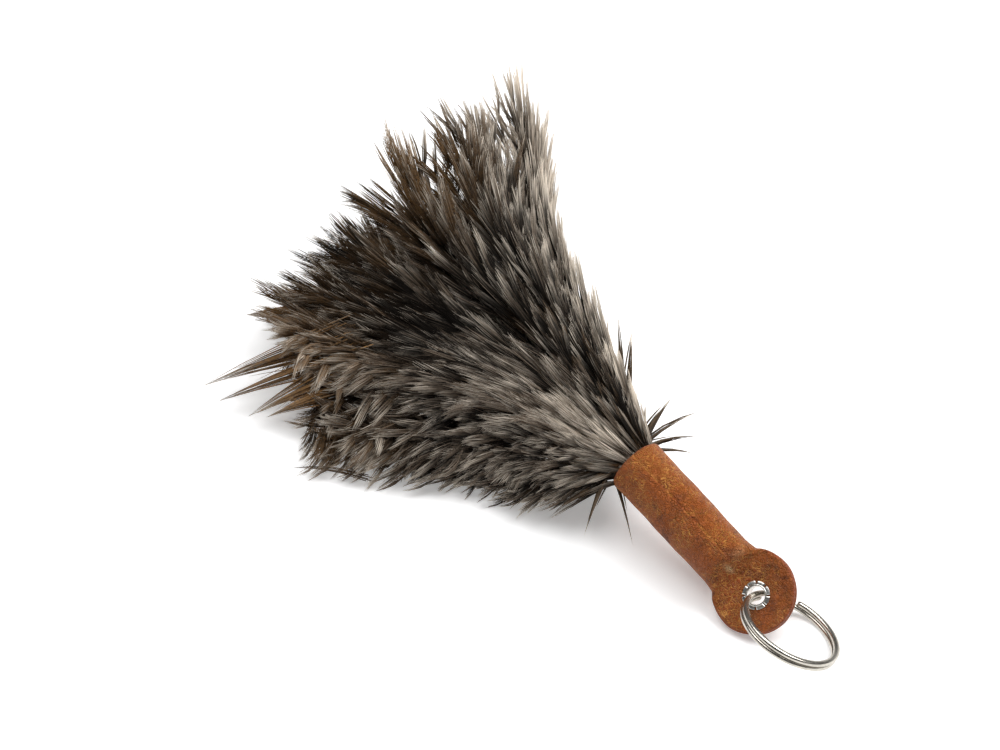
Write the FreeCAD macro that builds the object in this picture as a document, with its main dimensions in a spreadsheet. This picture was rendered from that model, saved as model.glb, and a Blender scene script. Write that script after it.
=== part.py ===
import FreeCAD, Part
import math
import os
import Sketcher

# A pocket feather duster on a key ring. Ostrich plumes are bound round a wooden core, glued into a
# rolled leather sleeve, and the sleeve's end is pressed flat into a round tab with an eyelet and a
# split ring. The duster lies as it rests on a table: +X runs from the plumes to the key ring, +Z is
# up, and the origin is under the middle of the whole object, on the table.

Vector = FreeCAD.Vector
Rotation = FreeCAD.Rotation
Placement = FreeCAD.Placement
xAxis = Vector(1, 0, 0)
yAxis = Vector(0, 1, 0)
zAxis = Vector(0, 0, 1)

# Driving dimensions, in millimetres and degrees.
dimensions = {
    # how the handle lies: its ring end is low, and its flat tab is rolled to one side
    "handle_tilt": 12,
    "tab_roll": 40,
    # leather sleeve, measured from the eyelet's centre
    "mouth_to_eyelet": 43.9,
    "mouth_radius": 7.1,
    "tube_radius": 6.9,
    "leather_thickness": 1.3,
    "shoulder_start": 12.5,
    "shoulder_end": 4.5,
    "tab_radius": 10.1,
    "tab_offset": 1.3,
    "press_clearance": 0.05,
    # eyelet
    "bore_radius": 2.15,
    "eyelet_wall": 0.35,
    "eyelet_flare": 0.5,
    "back_flange_radius": 3.7,
    "petal_radius": 3.35,
    "petal_start": 2.75,
    "flange_thickness": 0.4,
    "petal_count": 8,
    "petal_gap": 0.45,
    # split ring, and how it hangs from the eyelet
    "ring_outer_radius": 12.5,
    "wire_across": 1.5,
    "wire_along": 1.2,
    "coil_gap": 0.06,
    "crossing_half_angle": 24,
    "crossing_at": 150,
    "ring_turn": 2,
    "ring_lift": 10.2,
    "ring_lean": 22,
    # quills, their wooden core, and what holds them in the sleeve
    "core_radius": 2.2,
    "core_length": 25,
    "core_chamfer": 0.4,
    "core_inset": 0.4,
    "quill_radius": 0.55,
    "inner_circle": 2.86,
    "outer_circle": 4.06,
    "inner_count": 14,
    "outer_count": 20,
    "quill_depth": 24.5,
    "binding_wire_radius": 0.16,
    "binding_gap": 0.04,
    "binding_pitch": 0.4,
    "binding_turns": 4,
    "binding_front": 7,
    "binding_rear": 20,
    "glue_radius": 4.6,
    "glue_tip_radius": 3.1,
    "glue_length": 5.5,
    "glue_gap": 1,
    # plumes: how far they reach and how the bundle spreads, as ratios of its size at the mouth
    "plume_reach": 114,
    "shortest_plume": 0.9,
    "side_spread": 14.4,
    "height_spread": 4.6,
    "head_drop": 0.974,
}

# Where the plumes have a section, as shares of plume_reach, and how full each is near its tip.
plumeStations = (0, 0.08, 0.22, 0.42, 0.62, 0.8)
tipStations = ((0.94, 0.86), (1.0, 0.34))

# Where the sleeve has a section: on the tube as shares of its length back from the shoulder, and on
# the shoulder as shares of the way from the round tube to the flat tab.
tubeSteps = (1.0, 0.66, 0.33)
shoulderSteps = (0.0, 0.25, 0.5, 0.75, 1.0)

# The shoulder is a little narrower than the tab where they meet, and its bore stops short of there.
shoulderWidth = 0.95
boreReach = 0.75

# How the bundle widens: a little slower near the mouth than in proportion to the distance.
spreadPower = 1.08

# An ellipse's long radius may never round to less than its short one.
roundingSlack = 0.0001


def makeSheet():
    sheet = doc.addObject("Spreadsheet::Sheet", "sizes")
    for row, (alias, value) in enumerate(dimensions.items(), 1):
        sheet.set(f"A{row}", alias)
        sheet.set(f"B{row}", str(value))
        sheet.setAlias(f"B{row}", alias)
    doc.recompute()
    return sheet


def size(alias):
    return float(getattr(sizes, alias))


def bind(item, **expressions):
    """Sets properties from the sheet; two underscores in a name stand for a dot."""
    for name, expression in expressions.items():
        item.setExpression(name.replace("__", "."), expression)


def addShape(kind, name, **expressions):
    item = doc.addObject(kind, name)
    bind(item, **expressions)
    return item


def keep(item, label, placement=None):
    """Names a finished sub-part and puts it where it belongs."""
    item.Label = label
    if placement:
        item.Placement = placement
    subParts.append(item)


def originPlane(body, role):
    return next(item for item in body.Origin.OriginFeatures if item.Role == role)


def addSketch(body, role, name):
    sketch = body.newObject("Sketcher::SketchObject", name)
    sketch.AttachmentSupport = [(originPlane(body, role), "")]
    sketch.MapMode = "FlatFace"
    return sketch


def addOutline(sketch, points):
    """A closed outline of straight lines through these points."""
    count = len(points)
    for index, point in enumerate(points):
        sketch.addGeometry(Part.LineSegment(point, points[(index + 1) % count]), False)
    for index in range(count):
        following = (index + 1) % count
        sketch.addConstraint(Sketcher.Constraint("Coincident", index, 2, following, 1))


def ease(share):
    """0 to 1 with a level start and end."""
    return share * share * (3 - 2 * share)


# Leather sleeve


def sleeveLoft(name, inset, reach):
    """The round tube and its shoulder in one loft, inset from the outside by a wall's thickness."""
    tube = "(sizes.tube_radius + (sizes.mouth_radius - sizes.tube_radius) * {0})"
    flatThickness = "(sizes.leather_thickness - sizes.press_clearance)"
    tubeLength = "(sizes.mouth_to_eyelet - sizes.shoulder_start)"
    shoulderLength = "(sizes.shoulder_start - sizes.shoulder_end)"
    inward = f"{inset} * sizes.leather_thickness"
    sections = []

    def addSection(place, wide, thick):
        section = addShape(
            "Part::Ellipse",
            f"{name}_section",
            MajorRadius=f"{wide} - {inward} + {roundingSlack}",
            MinorRadius=f"{thick} - {inward}",
            Placement__Base__x=place,
        )
        section.Placement.Rotation = Rotation(yAxis, zAxis, xAxis, "ZXY")
        sections.append(section)

    for step in tubeSteps:
        radius = tube.format(step)
        addSection(f"-sizes.shoulder_start - {step} * {tubeLength}", radius, radius)
    for step in shoulderSteps:
        flat = ease(step)
        wide = f"(sizes.tube_radius * {1 - flat} + sizes.tab_radius * {shoulderWidth * flat})"
        thick = f"(sizes.tube_radius * {1 - flat} + {flatThickness} * {flat})"
        if inset:
            thick = f"({thick} + sizes.press_clearance * {2 * flat})"
        addSection(f"-sizes.shoulder_start + {reach * step} * {shoulderLength}", wide, thick)
    loft = doc.addObject("Part::Loft", name)
    loft.Sections = sections
    loft.Solid = True
    loft.MaxDegree = 3
    return loft


def makeSleeve():
    disc = addShape(
        "Part::Cylinder",
        "tab_disc",
        Radius="sizes.tab_radius",
        Height="2 * sizes.leather_thickness",
        Placement__Base__x="-sizes.tab_offset",
        Placement__Base__z="-sizes.leather_thickness",
    )
    outside = doc.addObject("Part::Fuse", "sleeve_outside")
    outside.Base = sleeveLoft("tube", 0, 1)
    outside.Tool = disc
    bored = doc.addObject("Part::Cut", "sleeve_bored")
    bored.Base = outside
    bored.Tool = sleeveLoft("bore", 1, boreReach)
    eyeletHole = addShape(
        "Part::Cylinder",
        "eyelet_hole",
        Radius="sizes.bore_radius + sizes.eyelet_wall + sizes.press_clearance",
        Height="4 * sizes.leather_thickness",
        Placement__Base__z="-2 * sizes.leather_thickness",
    )
    sleeve = doc.addObject("Part::Cut", "leather_sleeve")
    sleeve.Base = bored
    sleeve.Tool = eyeletHole
    keep(sleeve, "leather_sleeve", tabPlace)


# Eyelet


def makeEyelet():
    body = doc.addObject("PartDesign::Body", "eyelet")
    profile = addSketch(body, "XZ_Plane", "eyelet_profile")
    corners = {
        "bore_low": ("sizes.bore_radius", "-sizes.leather_thickness + sizes.eyelet_flare"),
        "mouth_low": (
            "sizes.bore_radius + sizes.eyelet_flare",
            "-sizes.leather_thickness - sizes.flange_thickness",
        ),
        "flange_edge": (
            "sizes.back_flange_radius",
            "-sizes.leather_thickness - sizes.flange_thickness",
        ),
        "flange_top": (
            "sizes.back_flange_radius",
            "-sizes.leather_thickness - sizes.press_clearance",
        ),
        "barrel_low": (
            "sizes.bore_radius + sizes.eyelet_wall",
            "-sizes.leather_thickness - sizes.press_clearance",
        ),
        "barrel_high": (
            "sizes.bore_radius + sizes.eyelet_wall",
            "sizes.leather_thickness + sizes.press_clearance",
        ),
        "petal_low": ("sizes.petal_radius", "sizes.leather_thickness + sizes.press_clearance"),
        "petal_high": ("sizes.petal_radius", "sizes.leather_thickness + sizes.flange_thickness"),
        "mouth_high": (
            "sizes.bore_radius + sizes.eyelet_flare",
            "sizes.leather_thickness + sizes.flange_thickness",
        ),
        "bore_high": ("sizes.bore_radius", "sizes.leather_thickness - sizes.eyelet_flare"),
    }
    points = [
        Vector(sizes.evalExpression(across), sizes.evalExpression(up), 0)
        for across, up in corners.values()
    ]
    addOutline(profile, points)
    for index, (name, (across, up)) in enumerate(corners.items()):
        for kind, expression, value in (
            ("DistanceX", across, points[index].x),
            ("DistanceY", up, points[index].y),
        ):
            number = profile.addConstraint(Sketcher.Constraint(kind, -1, 1, index, 1, value))
            profile.renameConstraint(number, f"{name}_{kind[-1].lower()}")
            profile.setExpression(f"Constraints.{name}_{kind[-1].lower()}", expression)
    turned = body.newObject("PartDesign::Revolution", "eyelet_turned")
    turned.Profile = profile
    turned.ReferenceAxis = (profile, ["V_Axis"])
    turned.Angle = 360
    doc.recompute()
    whole = turned.Shape.Volume

    slot = addSketch(body, "XY_Plane", "petal_slot")
    inner = size("petal_start")
    outer = size("petal_radius") + 1
    half = size("petal_gap") / 2
    rectangle = [
        Vector(inner, -half, 0),
        Vector(outer, -half, 0),
        Vector(outer, half, 0),
        Vector(inner, half, 0),
    ]
    addOutline(slot, rectangle)
    cut = body.newObject("PartDesign::Pocket", "petal_cut")
    cut.Profile = slot
    cut.Type = "ThroughAll"
    cut.Reversed = True
    doc.recompute()
    if cut.Shape.Volume >= whole:
        raise RuntimeError("the petal slot cuts nothing")
    petals = body.newObject("PartDesign::PolarPattern", "petals")
    petals.Originals = [cut]
    petals.Axis = (slot, ["N_Axis"])
    petals.Angle = 360
    petals.setExpression("Occurrences", "sizes.petal_count")
    body.Tip = petals
    keep(body, "eyelet", tabPlace)


# Split ring


def makeSplitRing():
    """Two flat coils of one wire, which crosses from the first to the second in a short ramp."""
    wireAcross = size("wire_across")
    wireAlong = size("wire_along")
    radius = size("ring_outer_radius") - wireAcross / 2
    level = (wireAlong + size("coil_gap")) / 2
    half = math.radians(size("crossing_half_angle"))
    start = math.radians(size("crossing_at"))

    def onCoil(angle, height):
        return Vector(
            radius * math.cos(start + angle), radius * math.sin(start + angle), height
        )

    def coil(height):
        return Part.Arc(onCoil(half, height), onCoil(math.pi, height), onCoil(-half, height))

    steps = 8
    ramp = []
    for step in range(steps + 1):
        share = step / steps
        ramp.append(onCoil(half * (2 * share - 1), level * (2 * ease(share) - 1)))
    crossing = Part.BSplineCurve()
    tangent = Vector(-math.sin(start - half), math.cos(start - half), 0)
    lastTangent = Vector(-math.sin(start + half), math.cos(start + half), 0)
    crossing.interpolate(Points=ramp, InitialTangent=tangent, FinalTangent=lastTangent)
    path = Part.Wire([coil(-level).toShape(), crossing.toShape(), coil(level).toShape()])

    begin = onCoil(half, -level)
    outward = Vector(begin.x, begin.y, 0).normalize()
    section = Part.Ellipse(
        begin + outward * (wireAcross / 2), begin + zAxis * (wireAlong / 2), begin
    )
    sweep = Part.BRepOffsetAPI.MakePipeShell(path)
    sweep.setBiNormalMode(zAxis)
    sweep.add(Part.Wire([section.toShape()]))
    sweep.build()
    sweep.makeSolid()
    ring = doc.addObject("Part::Feature", "split_ring")
    ring.Shape = Part.Solid(sweep.shape())

    turn = math.radians(size("ring_turn"))
    lift = math.radians(size("ring_lift"))
    lean = math.radians(size("ring_lean"))
    outwards = Vector(
        math.cos(lift) * math.cos(turn), math.cos(lift) * math.sin(turn), math.sin(lift)
    )
    sideways = Vector(-math.sin(turn), math.cos(turn), 0)
    upright = outwards.cross(sideways)
    normal = sideways * math.cos(lean) + upright * math.sin(lean)
    hang = Placement(outwards * radius, Rotation(outwards, normal.cross(outwards), normal, "XZY"))
    keep(ring, "split_ring", tabPlace.multiply(hang))


# What holds the quills in the sleeve


def makeCore():
    body = doc.addObject("PartDesign::Body", "core_dowel")
    sketch = addSketch(body, "YZ_Plane", "core_section")
    sketch.addGeometry(Part.Circle(Vector(0, 0, 0), zAxis, size("core_radius")), False)
    sketch.addConstraint(Sketcher.Constraint("Coincident", 0, 3, -1, 1))
    number = sketch.addConstraint(Sketcher.Constraint("Radius", 0, size("core_radius")))
    sketch.renameConstraint(number, "radius")
    sketch.setExpression("Constraints.radius", "sizes.core_radius")
    pad = body.newObject("PartDesign::Pad", "core_length")
    pad.Profile = sketch
    pad.setExpression("Length", "sizes.core_length")
    doc.recompute()
    ends = [
        f"Edge{number}"
        for number, edge in enumerate(pad.Shape.Edges, 1)
        if isinstance(edge.Curve, Part.Circle)
    ]
    chamfer = body.newObject("PartDesign::Chamfer", "core_ends")
    chamfer.Base = (pad, ends)
    chamfer.setExpression("Size", "sizes.core_chamfer")
    body.Tip = chamfer
    along = Placement(Vector(mouthX + size("core_inset"), 0, 0), Rotation())
    keep(body, "core_dowel", handlePlace.multiply(along))


def makeBinding(label, depth):
    """A few turns of wire wound round the outer quills."""
    outside = (
        "sizes.outer_circle + sizes.quill_radius + sizes.binding_wire_radius + sizes.binding_gap"
    )
    helix = addShape(
        "Part::Helix",
        f"{label}_path",
        Pitch="sizes.binding_pitch",
        Height="sizes.binding_pitch * sizes.binding_turns",
        Radius=outside,
    )
    section = addShape(
        "Part::Circle",
        f"{label}_section",
        Radius="sizes.binding_wire_radius",
        Placement__Base__x=outside,
    )
    section.Placement.Rotation = Rotation(xAxis, 90)
    wire = doc.addObject("Part::Sweep", label)
    wire.Sections = [section]
    wire.Spine = (helix, [])
    wire.Solid = True
    wire.Frenet = True
    along = Placement(Vector(mouthX + size(depth), 0, 0), Rotation(yAxis, 90))
    keep(wire, label, handlePlace.multiply(along))


def makeGlue():
    glue = addShape(
        "Part::Cone",
        "glue_plug",
        Radius1="sizes.glue_radius",
        Radius2="sizes.glue_tip_radius",
        Height="sizes.glue_length",
    )
    behind = mouthX + size("core_length") + size("glue_gap")
    along = Placement(Vector(behind, 0, 0), Rotation(yAxis, 90))
    keep(glue, "glue_plug", handlePlace.multiply(along))


# Plumes


def headPlace(share):
    """Where the bundle's middle lies at a share of its reach, square across the bundle there."""
    reach = size("plume_reach")
    slope = math.tan(math.radians(size("handle_tilt")))
    drop = size("head_drop")
    rise = reach * slope * share * (1 - drop * share)
    angle = math.atan(slope * (1 - 2 * drop * share))
    middle = mouthPlace.Base + Vector(-reach * share, 0, rise)
    upward = Vector(math.sin(angle), 0, math.cos(angle))
    return Placement(middle, Rotation(yAxis, upward, yAxis.cross(upward), "XYZ"))


def makePlume(label, across, up, length):
    """One feather: a round quill in the sleeve, and a flat plume that widens beyond the mouth."""
    stations = [(share, 1) for share in plumeStations]
    stations += [(share * length, full) for share, full in tipStations]
    sections = []
    for share, full in stations:
        grown = share**spreadPower
        side = 1 + (size("side_spread") - 1) * grown
        height = 1 + (size("height_spread") - 1) * grown
        section = addShape(
            "Part::Ellipse",
            f"{label}_section",
            MajorRadius=f"sizes.quill_radius * {full} * (1 + (sizes.side_spread - 1) * {grown})"
            f" + {roundingSlack}",
            MinorRadius=f"sizes.quill_radius * {full} * (1 + (sizes.height_spread - 1) * {grown})",
        )
        local = Placement(Vector(across * side, up * height, 0), Rotation())
        section.Placement = headPlace(share).multiply(local)
        sections.append(section)
    vane = doc.addObject("Part::Loft", f"{label}_vane")
    vane.Sections = sections
    vane.Solid = True
    quill = addShape(
        "Part::Cylinder",
        f"{label}_quill",
        Radius="sizes.quill_radius",
        Height="sizes.quill_depth",
    )
    local = Placement(Vector(mouthX, across, up), Rotation(yAxis, 90))
    quill.Placement = handlePlace.multiply(local)
    plume = doc.addObject("Part::MultiFuse", label)
    plume.Shapes = [quill, vane]
    keep(plume, label)


def makePlumes():
    """Two circles of feathers round the core, longer and shorter in turn."""
    for circle in ("inner", "outer"):
        count = int(size(f"{circle}_count"))
        shortest = size("shortest_plume")
        for index in range(count):
            angle = 2 * math.pi * (index + 0.5) / count
            across = size(f"{circle}_circle") * math.cos(angle)
            up = size(f"{circle}_circle") * math.sin(angle)
            length = shortest + (1 - shortest) * ((index * 2) % 3) / 2
            makePlume(f"plume_{circle}_{index + 1:02d}", across, up, length)


# Finishing


def checkAll():
    for item in doc.Objects:
        if "Invalid" in item.State or "Error" in item.State:
            raise RuntimeError(f"{item.Label} failed: {item.State}")
    for item in subParts:
        if item.Shape.isNull() or not item.Shape.isValid() or item.Shape.Volume <= 0:
            raise RuntimeError(f"{item.Label} has no valid solid")


def standOnTable():
    """Moves every sub-part so that the origin is at the bottom centre of them all."""
    box = FreeCAD.BoundBox()
    for item in subParts:
        box.add(item.Shape.optimalBoundingBox(False))
    shift = Vector(-box.Center.x, -box.Center.y, -box.ZMin)
    for item in subParts:
        item.Placement = Placement(shift, Rotation()).multiply(item.Placement)
    print("size", box.XLength, box.YLength, box.ZLength, "eyelet at", tuple(shift))


os.makedirs("parts", exist_ok=True)
doc = FreeCAD.newDocument("feather_duster")
sizes = makeSheet()
subParts = []
handlePlace = Placement(Vector(), Rotation(yAxis, size("handle_tilt")))
tabPlace = handlePlace.multiply(Placement(Vector(), Rotation(xAxis, size("tab_roll"))))
mouthX = -size("mouth_to_eyelet")
mouthPlace = handlePlace.multiply(Placement(Vector(mouthX, 0, 0), Rotation()))

makeSleeve()
makeEyelet()
makeSplitRing()
makeCore()
makeBinding("binding_wire_front", "binding_front")
makeBinding("binding_wire_rear", "binding_rear")
makeGlue()
makePlumes()
doc.recompute()
checkAll()
standOnTable()
checkAll()
for item in subParts:
    item.Shape.exportStep(f"parts/{item.Label}.step")
    print(f"{item.Label:24s} {item.Shape.Volume:9.2f} mm3")
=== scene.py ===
import math
import bmesh
import bpy
import numpy as np
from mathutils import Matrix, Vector


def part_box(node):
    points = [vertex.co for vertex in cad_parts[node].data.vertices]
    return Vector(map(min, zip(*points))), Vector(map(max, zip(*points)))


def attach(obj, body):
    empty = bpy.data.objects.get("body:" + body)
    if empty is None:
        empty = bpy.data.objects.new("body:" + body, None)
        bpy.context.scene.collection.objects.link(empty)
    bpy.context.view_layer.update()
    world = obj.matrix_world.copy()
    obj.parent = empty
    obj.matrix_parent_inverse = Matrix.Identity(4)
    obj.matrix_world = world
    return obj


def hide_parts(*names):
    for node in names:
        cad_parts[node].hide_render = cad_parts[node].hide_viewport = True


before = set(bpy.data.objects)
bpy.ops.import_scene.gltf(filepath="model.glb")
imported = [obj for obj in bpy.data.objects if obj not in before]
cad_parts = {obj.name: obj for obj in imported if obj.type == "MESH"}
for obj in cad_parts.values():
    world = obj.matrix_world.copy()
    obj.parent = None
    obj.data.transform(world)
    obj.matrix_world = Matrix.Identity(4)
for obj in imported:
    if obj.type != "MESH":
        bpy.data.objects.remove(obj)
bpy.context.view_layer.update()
print("frame loaded")

mm = 0.001


# Shading: a value in a material, written with like a number

class Signal:
    def __init__(self, graph, socket):
        self.graph = graph
        self.socket = socket

    def join(self, operation, first, second):
        return self.graph.node("ShaderNodeMath", {"operation": operation}, {0: first, 1: second})

    def __add__(self, other):
        return self.join("ADD", self, other)

    def __radd__(self, other):
        return self.join("ADD", other, self)

    def __sub__(self, other):
        return self.join("SUBTRACT", self, other)

    def __rsub__(self, other):
        return self.join("SUBTRACT", other, self)

    def __mul__(self, other):
        return self.join("MULTIPLY", self, other)

    def __rmul__(self, other):
        return self.join("MULTIPLY", other, self)


class Finish:
    def __init__(self, name, **fixed):
        self.material = bpy.data.materials.new(name)
        self.material.use_nodes = True
        self.tree = self.material.node_tree
        self.shader = self.tree.nodes["Principled BSDF"]
        for socket, value in fixed.items():
            self.shader.inputs[socket.replace("_", " ")].default_value = value

    def node(self, kind, settings, values, output=0):
        made = self.tree.nodes.new(kind)
        for name, value in settings.items():
            setattr(made, name, value)
        for name, value in values.items():
            if isinstance(value, Signal):
                self.tree.links.new(value.socket, made.inputs[name])
            else:
                made.inputs[name].default_value = value
        return Signal(self, made.outputs[output])

    def places(self):
        return self.node("ShaderNodeTexCoord", {}, {}, "Object")

    def noise(self, places, scale, detail=3, distortion=0):
        values = {"Vector": places, "Scale": scale, "Detail": detail, "Distortion": distortion}
        return self.node("ShaderNodeTexNoise", {}, values)

    def cracks(self, places, scale):  # 0 on the lines of a net, rising away from them
        values = {"Vector": places, "Scale": scale}
        return self.node("ShaderNodeTexVoronoi", {"feature": "DISTANCE_TO_EDGE"}, values)

    def between(self, value, low, high):  # 0 below low, 1 above high, smooth in between
        settings = {"interpolation_type": "SMOOTHSTEP"}
        return self.node("ShaderNodeMapRange", settings, {0: value, 1: low, 2: high})

    def mix(self, share, first, second):
        values = {0: share}
        for slot, colour in ((6, first), (7, second)):
            values[slot] = colour if isinstance(colour, Signal) else (*colour, 1)
        return self.node("ShaderNodeMix", {"data_type": "RGBA"}, values, 2)

    def attribute(self, name, output="Fac"):
        return self.node("ShaderNodeAttribute", {"attribute_name": name}, {}, output)

    def feed(self, **signals):
        for socket, signal in signals.items():
            self.tree.links.new(signal.socket, self.shader.inputs[socket.replace("_", " ")])

    def bump(self, height, depth):
        normal = self.node("ShaderNodeBump", {}, {"Height": height, "Distance": depth})
        self.feed(Normal=normal)


# Places shared by the pieces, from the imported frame

handleLie = {"tilt": 12, "roll": 40, "mouthToEyelet": 43.9, "mouthRadius": 7.1}

tilt = math.radians(handleLie["tilt"])
roll = math.radians(handleLie["roll"])
handleWay = Vector((math.cos(tilt), 0, -math.sin(tilt)))  # from the plumes to the ring
handleUp = Vector((math.sin(tilt), 0, math.cos(tilt)))
handleSide = Vector((0, 1, 0))
tabSide = handleSide * math.cos(roll) + handleUp * math.sin(roll)
tabUp = handleUp * math.cos(roll) - handleSide * math.sin(roll)
low, high = (Vector(corner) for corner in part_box("eyelet"))
eyeletAt = (low + high) / 2
mouthAt = eyeletAt - handleWay * handleLie["mouthToEyelet"] * mm


def addPiece(name, mesh, body, slot, *nodes, materials=()):
    piece = bpy.data.objects.new(name, mesh)
    bpy.context.scene.collection.objects.link(piece)
    for material in materials:
        mesh.materials.append(material)
    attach(piece, body)
    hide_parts(*nodes)
    return piece


def finishMesh(shape, name):
    bmesh.ops.recalc_face_normals(shape, faces=shape.faces)
    for face in shape.faces:
        face.smooth = True
    mesh = bpy.data.meshes.new(name)
    shape.to_mesh(mesh)
    shape.free()
    return mesh


def growRings(shape, rings):
    # a closed tube: a first ring of points, carried on from ring to ring, capped at both ends
    start = bmesh.ops.create_circle(shape, segments=len(rings[0]), radius=1, cap_ends=True)
    verts = start["verts"]
    for vert, place in zip(verts, rings[0]):
        vert.co = place
    edges = list({edge for vert in verts for edge in vert.link_edges})
    for ring in rings[1:]:
        grown = bmesh.ops.extrude_edge_only(shape, edges=edges)["geom"]
        made = {item for item in grown if isinstance(item, bmesh.types.BMVert)}
        verts = [next(edge.other_vert(vert) for edge in vert.link_edges
                      if edge.other_vert(vert) in made) for vert in verts]
        edges = [item for item in grown if isinstance(item, bmesh.types.BMEdge)
                 and item.verts[0] in made and item.verts[1] in made]
        for vert, place in zip(verts, ring):
            vert.co = place
    bmesh.ops.contextual_create(shape, geom=edges)


# Leather sleeve. Places along the handle are in millimetres from the eyelet, negative towards
# the mouth.

sleeveShape = {
    "around": 112,  # points round each section
    "tubeRadius": 6.9,
    "wall": 1.3,
    "shoulderStart": 12.2,
    "shoulderEnd": 5.6,
    "neck": 0.2,  # how much of the tab's extra width the shoulder has before the disc
    "tabRadius": 10.1,
    "tabOffset": 1.3,
    "tabCorner": 0.55,
    "rimWidth": 0.28,
    "rimDepth": 0.28,  # of the line between the tab's two layers
    "seamTurn": 20,  # where the seam runs, in degrees from the tube's top
    "seamWidth": 0.35,
    "seamDepth": 0.14,
    "seamEnd": -2.5,
    "wobble": 0.06,  # hand-made unevenness
    "innerEnd": -11.5,
    "slitHalf": 0.08,  # half the height of the slit where the inside ends
    "tubeStep": 0.8,
    "tabStep": 0.4,
    "eyeletHole": 2.55,
}


def ease(share):
    share = np.clip(share, 0, 1)
    return share * share * (3 - 2 * share)


def roundedSection(wide, thick, corner, count):
    # evenly spaced points round a rounded rectangle; even sides are straight, odd ones are corners
    flatWide = max(wide - corner, 0)
    flatThick = max(thick - corner, 0)
    quarter = math.pi * corner / 2
    sides = [2 * flatThick, quarter, 2 * flatWide, quarter] * 2
    total = sum(sides)
    points = []
    for index in range(count):
        left = (index / count * total + flatThick) % total
        for side, length in enumerate(sides):
            if left <= length or side == 7:
                break
            left -= length
        share = left / length if length > 0 else 0
        straight = {0: (flatWide, flatThick * (2 * share - 1)),
                    2: (flatWide * (1 - 2 * share), flatThick),
                    4: (-flatWide, flatThick * (1 - 2 * share)),
                    6: (flatWide * (2 * share - 1), -flatThick)}
        if side in straight:
            across, up = straight[side]
            angle = math.radians(45 * side)
        else:
            across = flatWide * (1, -1, -1, 1)[side // 2]
            up = flatThick * (1, 1, -1, -1)[side // 2]
            angle = math.radians(45 * (side - 1) + 90 * share)
        points.append((across + corner * math.cos(angle), up + corner * math.sin(angle)))
    return points


def sleeveRing(along, wide, thick, corner, outside):
    shape = sleeveShape
    onTab = ease((along + shape["shoulderStart"]) / (shape["shoulderStart"] - shape["shoulderEnd"]))
    ring = []
    for across, up in roundedSection(wide, thick, corner, shape["around"]):
        place = along
        if outside:
            # the seam runs along the tube's top and ends at the eyelet
            angle = math.degrees(math.atan2(up, across))
            seam = 90 - shape["seamTurn"] * (1 - onTab)
            gap = (angle - seam) / 180 * math.pi * max(wide, 0.5) if onTab < 0.5 else across
            if up > 0 and along <= shape["seamEnd"]:
                dip = shape["seamDepth"] * math.exp(-(gap / shape["seamWidth"]) ** 2) * (1 - 0.4 * onTab)
                across -= dip * math.cos(math.radians(angle)) * (1 - onTab)
                up -= dip * (math.sin(math.radians(angle)) if onTab < 0.5 else 1)
            # unevenness of a cut and pressed hide
            sway = math.sin(along * 0.31 + across * 0.5) + 0.6 * math.sin(along * 0.83 - up * 0.4 + 1)
            across += shape["wobble"] * sway * (across / max(wide, 1))
            up += shape["wobble"] * sway * (up / max(wide, 1))
            # two layers meet along the tab's rim
            if onTab > 0.4:
                rim = math.exp(-(up / shape["rimWidth"]) ** 2) * shape["rimDepth"]
                rim *= ease((onTab - 0.4) / 0.5)
                outwards = Vector((along + shape["tabOffset"], across))
                if outwards.length > 4:
                    outwards.normalize()
                    place -= rim * outwards.x
                    across -= rim * outwards.y
        centreLine = eyeletAt + handleWay * place * mm
        ring.append(centreLine + (tabSide * across + tabUp * up) * mm)
    return ring


def outerSize(along):
    # half width, half thickness and corner radius of the outside at a place along the handle
    shape = sleeveShape
    start = -shape["shoulderStart"]
    toMouth = np.clip((start - along) / (start + handleLie["mouthToEyelet"]), 0, 1)
    radius = shape["tubeRadius"] + (handleLie["mouthRadius"] - shape["tubeRadius"]) * toMouth
    flat = ease((along - start) / (shape["shoulderStart"] - shape["shoulderEnd"]))
    fromCentre = along + shape["tabOffset"]
    onDisc = abs(fromCentre) < shape["tabRadius"]
    disc = math.sqrt(max(shape["tabRadius"] ** 2 - fromCentre ** 2, 0.01)) if onDisc else 0.1
    neck = radius + (shape["tabRadius"] - radius) * shape["neck"] * flat
    wide = max(neck, disc) if along < 0 else disc
    thick = radius + (shape["wall"] - radius) * flat
    corner = thick + (min(thick, shape["tabCorner"]) - thick) * ease((flat - 0.75) * 4)
    return wide, thick, min(corner, wide, thick)


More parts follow.
